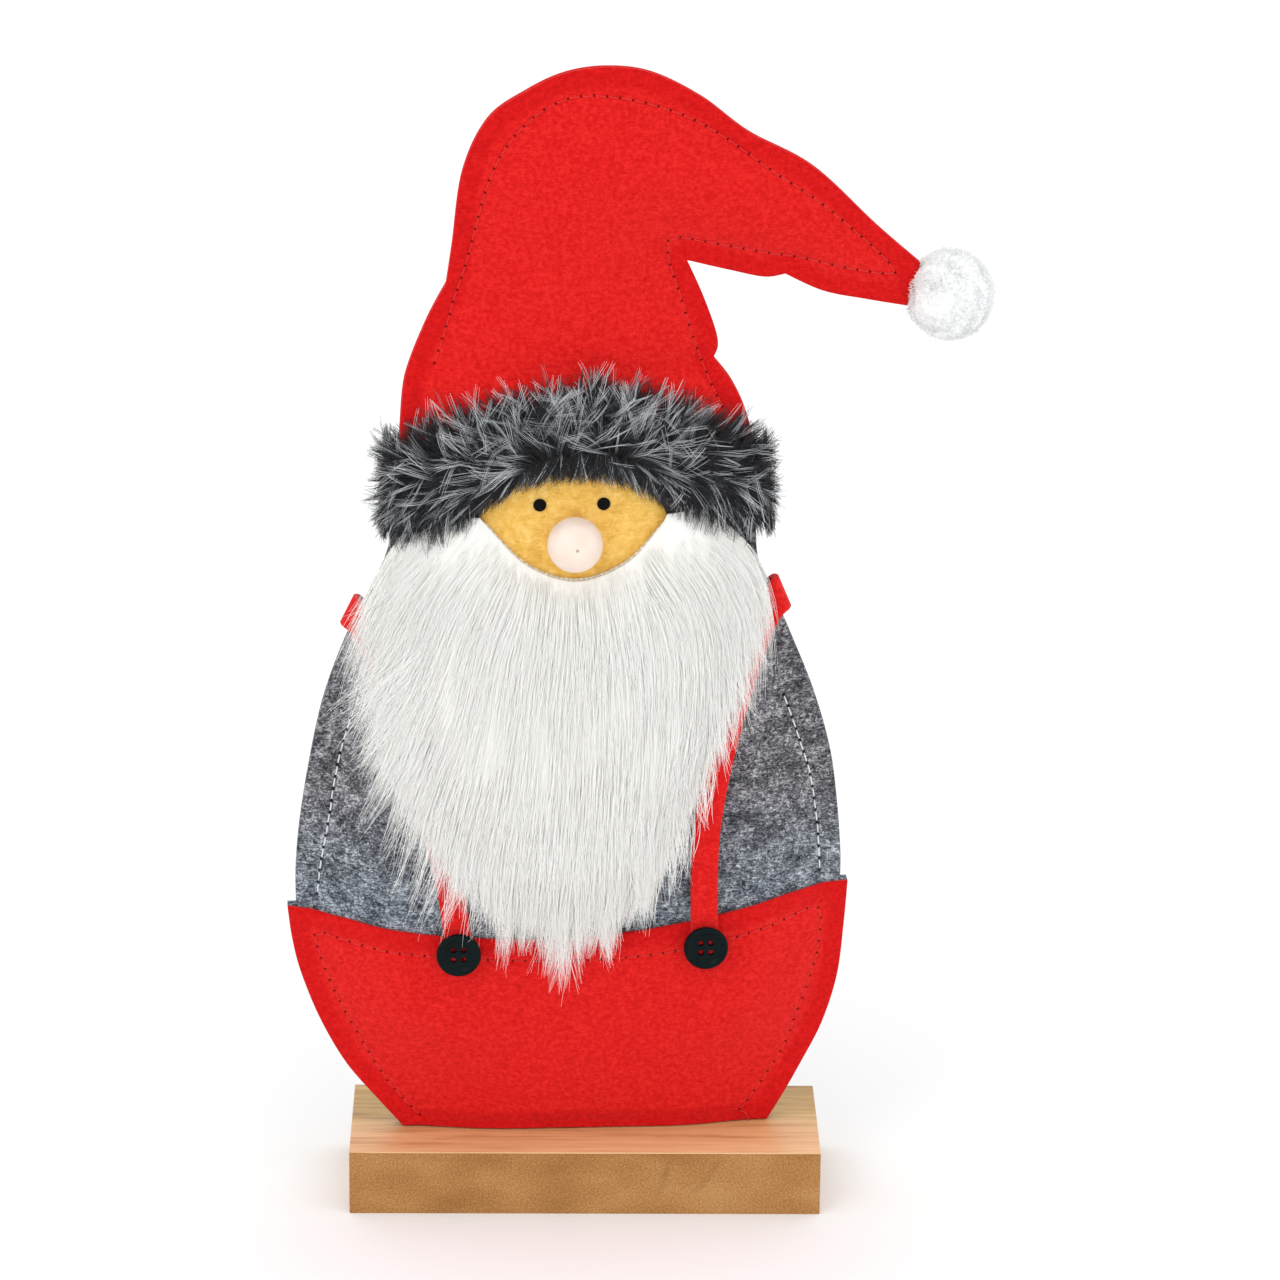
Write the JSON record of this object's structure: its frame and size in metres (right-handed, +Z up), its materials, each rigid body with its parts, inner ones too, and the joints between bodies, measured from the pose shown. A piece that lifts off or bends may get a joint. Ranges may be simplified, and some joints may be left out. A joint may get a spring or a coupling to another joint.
{
  "type": "tomte gnome figurine",
  "caption": "Standing decorative felt gnome on a wooden block, flat and lightly stuffed, with a drooping pompom hat, fur brim, long fur beard, bead nose, trousers and buttoned straps.",
  "frame": {"origin": "centre of the wooden block's underside", "axes": "+Z up along the figure's height, -Y towards the viewer of the front, +X towards the side that the hat's tip droops over"},
  "size_m": [0.2428, 0.0644, 0.4055],
  "materials": {
    "mdf": "sawn and sanded MDF, brown",
    "wood_skin": "wood-grain skin, satin",
    "dowel_wood": "plain turned beech",
    "wadding": "loose polyester wadding",
    "grey_felt": "heathered grey felt",
    "red_felt": "bright red felt, matt and hairy",
    "mustard_felt": "mottled mustard felt",
    "fur_backing_cloth": "knitted backing of the white faux fur",
    "white_fur": "long white faux fur",
    "grey_fur_backing_cloth": "knitted backing of the grey faux fur",
    "grey_fur": "dark grey faux fur with silver tips",
    "nose_paint": "pale pink satin paint on a wooden bead",
    "eye_black": "black",
    "button_black": "black with a green tint, polished",
    "red_thread": "red sewing thread",
    "grey_thread": "light grey sewing thread",
    "pompom_fibre": "dense white acrylic fibre"
  },
  "bodies": {
    "root": {"base_block": "mdf", "base_top_skin": "wood_skin", "dowel_left": "dowel_wood", "dowel_right": "dowel_wood", "stuffing": "wadding", "body_back_felt": "grey_felt", "body_front_felt": "grey_felt", "trousers_front_felt": "red_felt", "hat_back_felt": "red_felt", "hat_front_felt": "red_felt", "face_patch": "mustard_felt", "eye_left": "eye_black", "eye_right": "eye_black", "nose_bead": "nose_paint", "beard_backing": "fur_backing_cloth", "beard_pile": "white_fur", "brim_backing": "grey_fur_backing_cloth", "brim_pile": "grey_fur", "strap_left": "red_felt", "strap_right": "red_felt", "button_left": "button_black", "button_right": "button_black", "pompom": "pompom_fibre", "hat_seam_thread": "red_thread", "hat_bobbin_thread": "red_thread", "torso_left_seam_thread": "grey_thread", "torso_right_seam_thread": "grey_thread", "trousers_seam_thread": "red_thread", "torso_left_bobbin_thread": "grey_thread", "torso_right_bobbin_thread": "grey_thread"}
  },
  "joints": []
}
